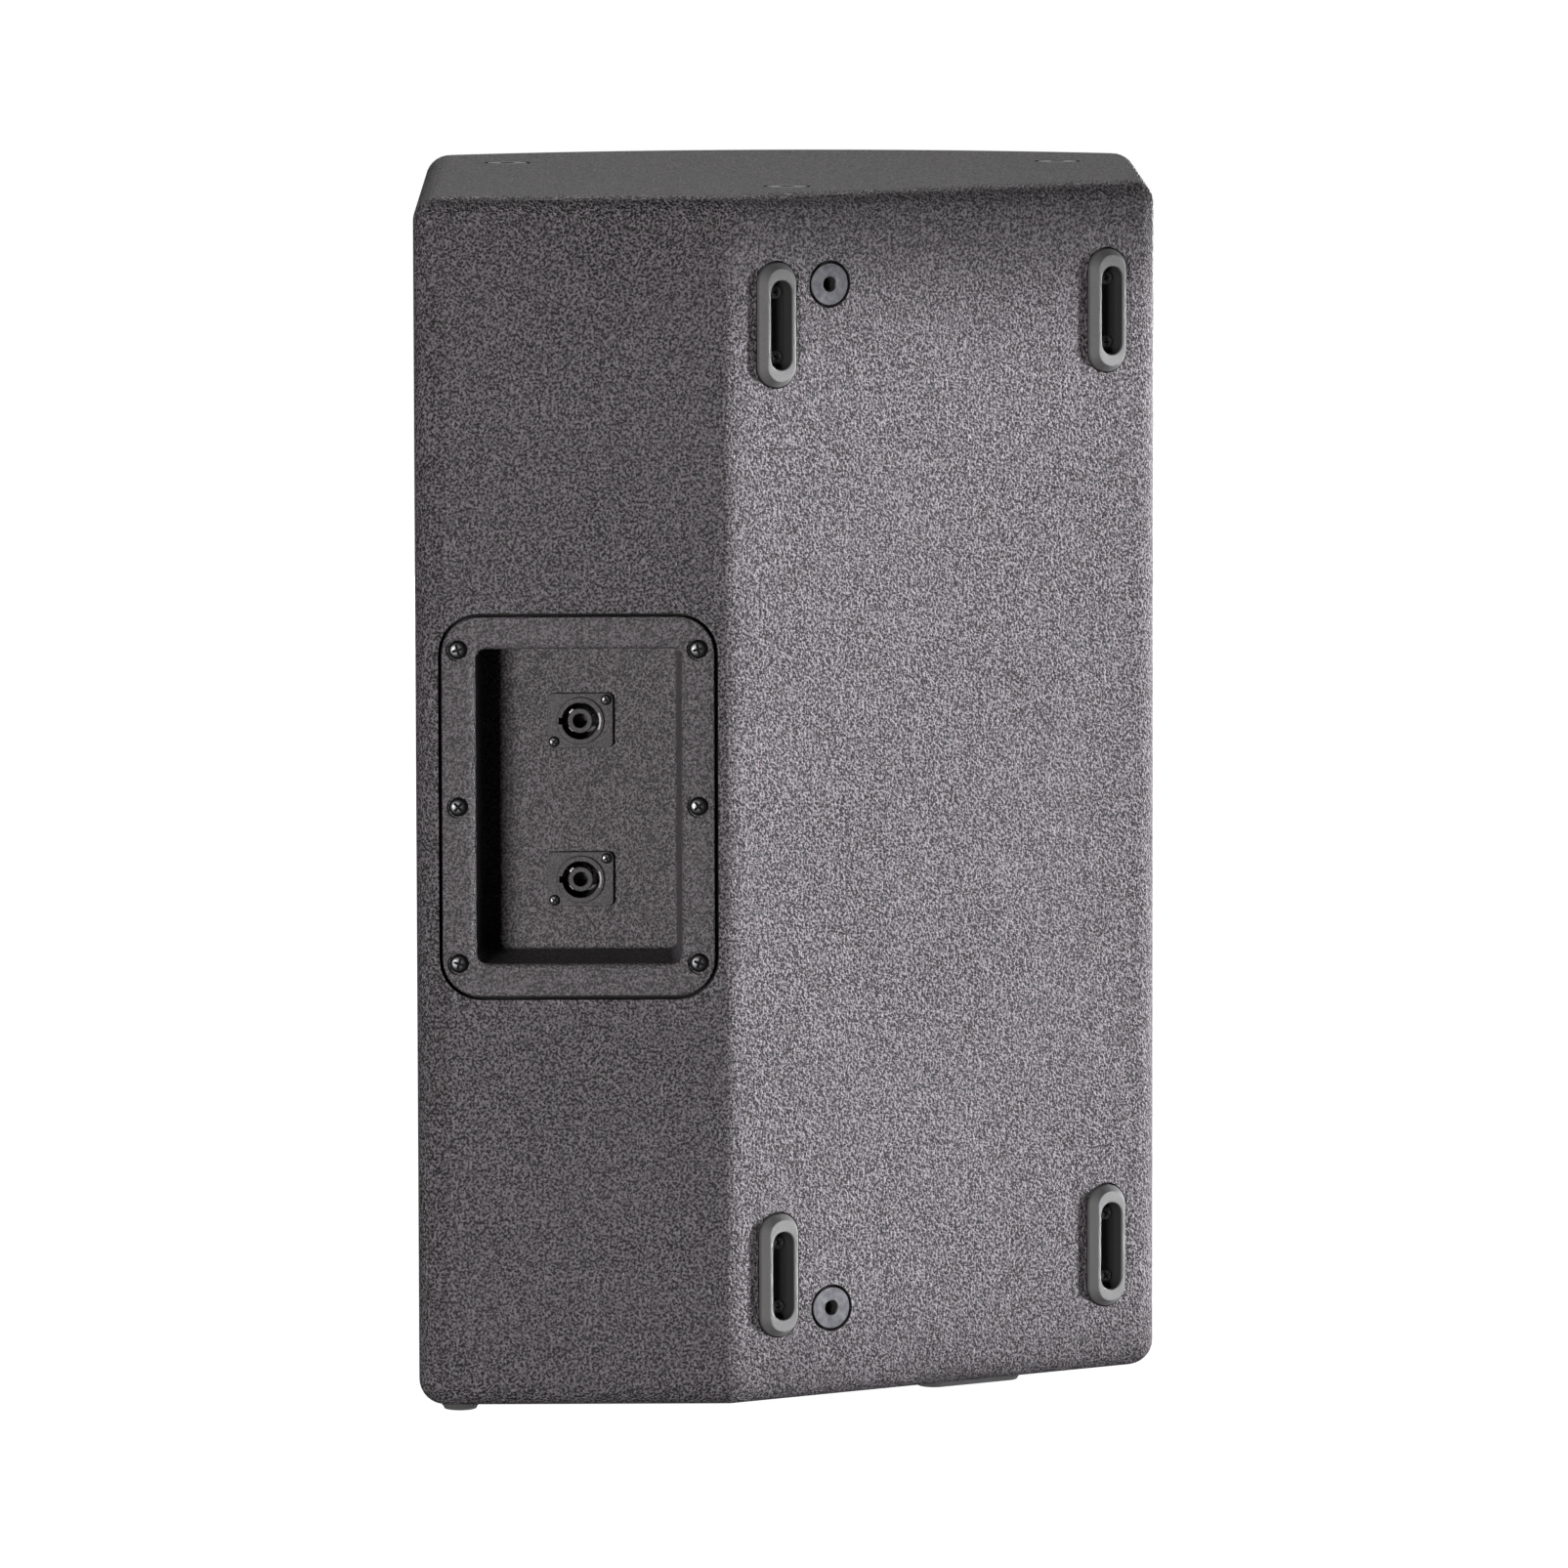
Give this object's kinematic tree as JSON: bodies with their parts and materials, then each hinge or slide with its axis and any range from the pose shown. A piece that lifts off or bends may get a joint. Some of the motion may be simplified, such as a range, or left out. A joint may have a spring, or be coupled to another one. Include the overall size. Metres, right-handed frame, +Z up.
{
  "type": "two-way stage loudspeaker",
  "caption": "Upright black plywood loudspeaker with a curved steel grille, a slanted side for lying as a stage wedge, a rear input dish with twist-lock sockets, and rubber feet.",
  "frame": {"origin": "centre of the bounding box on the plane that the bottom feet stand on", "axes": "+Z up along the cabinet's height, -Y towards the listener (the curved grille), +Y out of the rear board, +X towards the long plain side; the slanted side faces -X and +Y"},
  "size_m": [0.35, 0.38, 0.575],
  "materials": {
    "painted_wood": "black textured spray paint, matt, over birch plywood",
    "bare_wood": "bare birch plywood, lightly sanded",
    "black_steel": "black, satin",
    "grille_steel": "black powder coat, semi-matt, perforated",
    "bolt_steel": "dark phosphated steel, satin",
    "zinc_steel": "zinc plated",
    "dish_plastic": "charcoal, fine moulded grain",
    "socket_plastic": "black-grey, smooth",
    "horn_plastic": "black, fine grain",
    "cup_plastic": "black, satin",
    "foot_rubber": "dark grey, matt",
    "gasket_foam": "black, matt",
    "cast_aluminium": "black painted casting",
    "cone_paper": "black treated paper",
    "pleated_cloth": "sealed cloth",
    "coil_wire": "lacquered copper-clad winding",
    "titanium": "thin bare foil",
    "wadding": "soft white polyester wadding",
    "circuit_board": "green circuit board with coils and capacitors",
    "cable": "black cable jacket"
  },
  "bodies": {
    "cabinet": {"bottom_panel": "painted_wood", "compression_driver": "black_steel", "cross_brace": "bare_wood", "crossover_board": "circuit_board", "damping_wadding": "wadding", "dish_gasket": "gasket_foam", "dish_screw_1": "black_steel", "dish_screw_2": "black_steel", "dish_screw_3": "black_steel", "dish_screw_4": "black_steel", "dish_screw_5": "black_steel", "dish_screw_6": "black_steel", "driver_wire": "cable", "foot_bottom_front_long_side": "foot_rubber", "foot_bottom_front_short_side": "foot_rubber", "foot_bottom_rear_long_side": "foot_rubber", "foot_bottom_rear_slanted": "foot_rubber", "foot_monitor_lower_front": "foot_rubber", "foot_monitor_lower_rear": "foot_rubber", "foot_monitor_upper_front": "foot_rubber", "foot_monitor_upper_rear": "foot_rubber", "front_baffle": "bare_wood", "grille": "grille_steel", "grille_screw_1": "black_steel", "grille_screw_2": "black_steel", "grille_screw_3": "black_steel", "grille_screw_4": "black_steel", "horn": "horn_plastic", "input_dish": "dish_plastic", "input_wire": "cable", "long_side_panel": "painted_wood", "monitor_side_panel": "painted_wood", "pole_cup": "cup_plastic", "rear_panel": "painted_wood", "rig_bolt_monitor_lower": "bolt_steel", "rig_bolt_monitor_upper": "bolt_steel", "rig_bolt_top_long_side": "bolt_steel", "rig_bolt_top_rear": "bolt_steel", "rig_bolt_top_short_side": "bolt_steel", "rig_plate_monitor_lower": "zinc_steel", "rig_plate_monitor_upper": "zinc_steel", "rig_plate_top_long_side": "zinc_steel", "rig_plate_top_rear": "zinc_steel", "rig_plate_top_short_side": "zinc_steel", "short_side_panel": "painted_wood", "speaker_socket_lower": "socket_plastic", "speaker_socket_upper": "socket_plastic", "top_panel": "painted_wood", "woofer_basket": "cast_aluminium", "woofer_magnet": "black_steel", "woofer_spider": "pleated_cloth", "woofer_surround": "pleated_cloth", "woofer_wire": "cable"},
    "cone": {"woofer_cone": "cone_paper", "woofer_dust_cap": "cone_paper", "woofer_voice_coil": "coil_wire"},
    "diaphragm": {"driver_diaphragm": "titanium"}
  },
  "joints": [
    {"name": "cone_travel", "type": "slide", "parent": "cabinet", "child": "cone", "axis": [0, -1, 0], "range_m": [-0.006, 0.006], "stiffness_N_per_m": 4500, "deforming": ["woofer_surround", "woofer_spider"]},
    {"name": "diaphragm_travel", "type": "slide", "parent": "cabinet", "child": "diaphragm", "axis": [0, -1, 0], "range_m": [-0.0004, 0.0004], "stiffness_N_per_m": 100}
  ]
}
